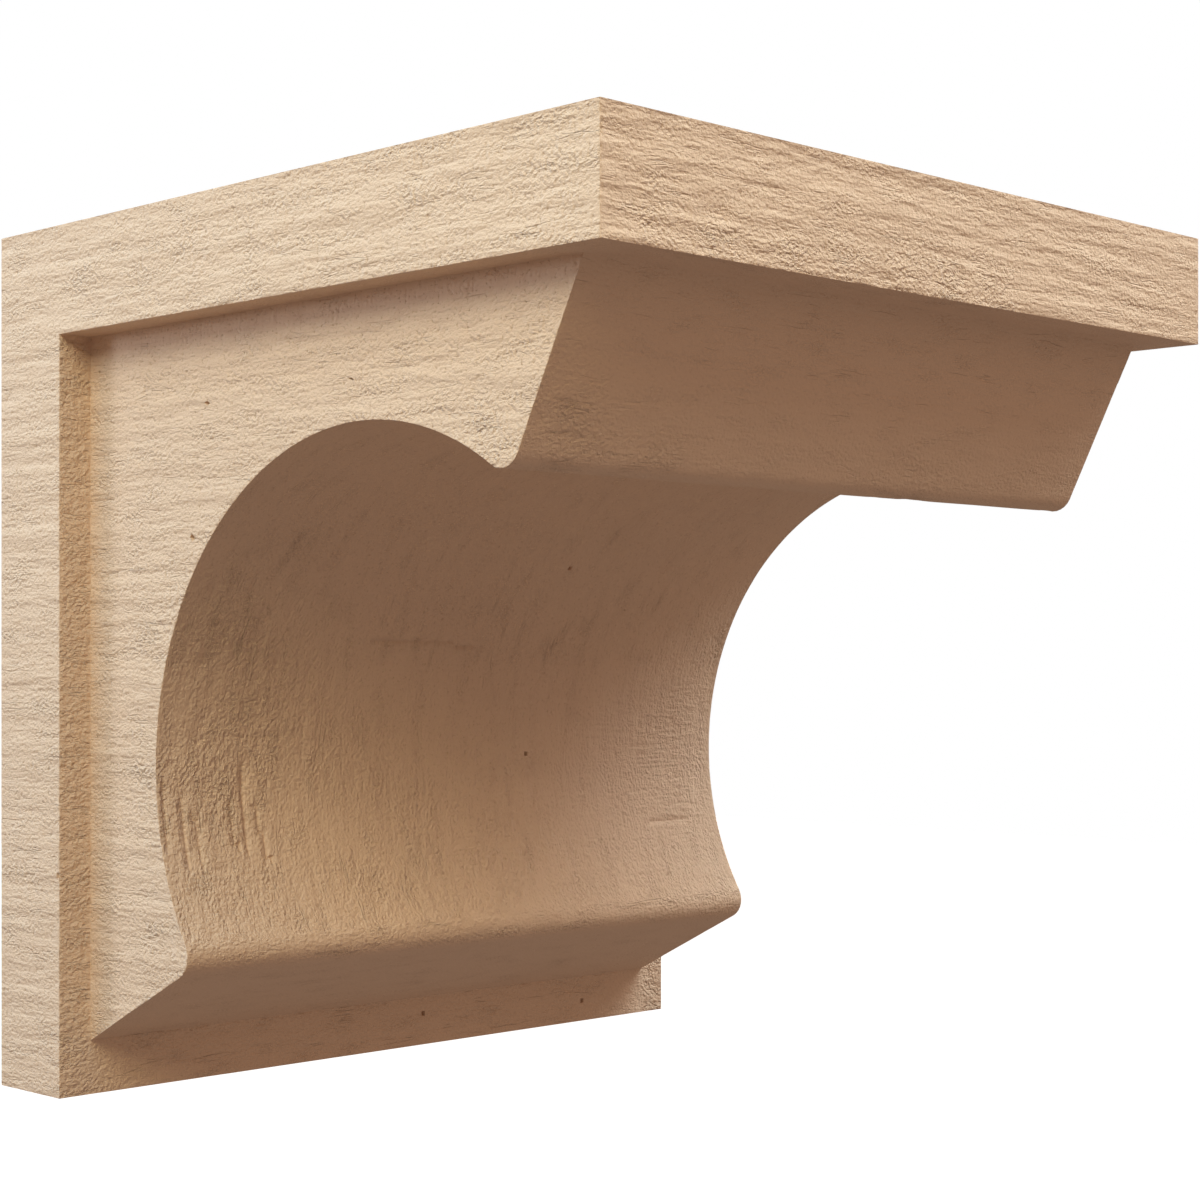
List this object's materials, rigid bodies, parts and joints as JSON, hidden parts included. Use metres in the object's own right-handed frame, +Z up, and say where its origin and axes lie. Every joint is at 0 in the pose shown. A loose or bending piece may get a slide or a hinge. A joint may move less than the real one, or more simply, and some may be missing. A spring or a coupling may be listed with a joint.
{
  "type": "polyurethane corbel",
  "caption": "Blocky wall corbel with a square cap and back plate, a leaning-faced body and a round cove under it, in rough-sawn primed foam.",
  "frame": {"origin": "centre of the flat back face, where the corbel meets the wall", "axes": "+Y into the wall, so the corbel reaches out along -Y; +Z up; +X to the right as the wall is faced"},
  "size_m": [0.3048, 0.3048, 0.3048],
  "materials": {
    "primed_foam": "matt light tan factory primer over a cast rough-sawn wood grain"
  },
  "bodies": {
    "root": {"corbel": "primed_foam"}
  },
  "joints": []
}
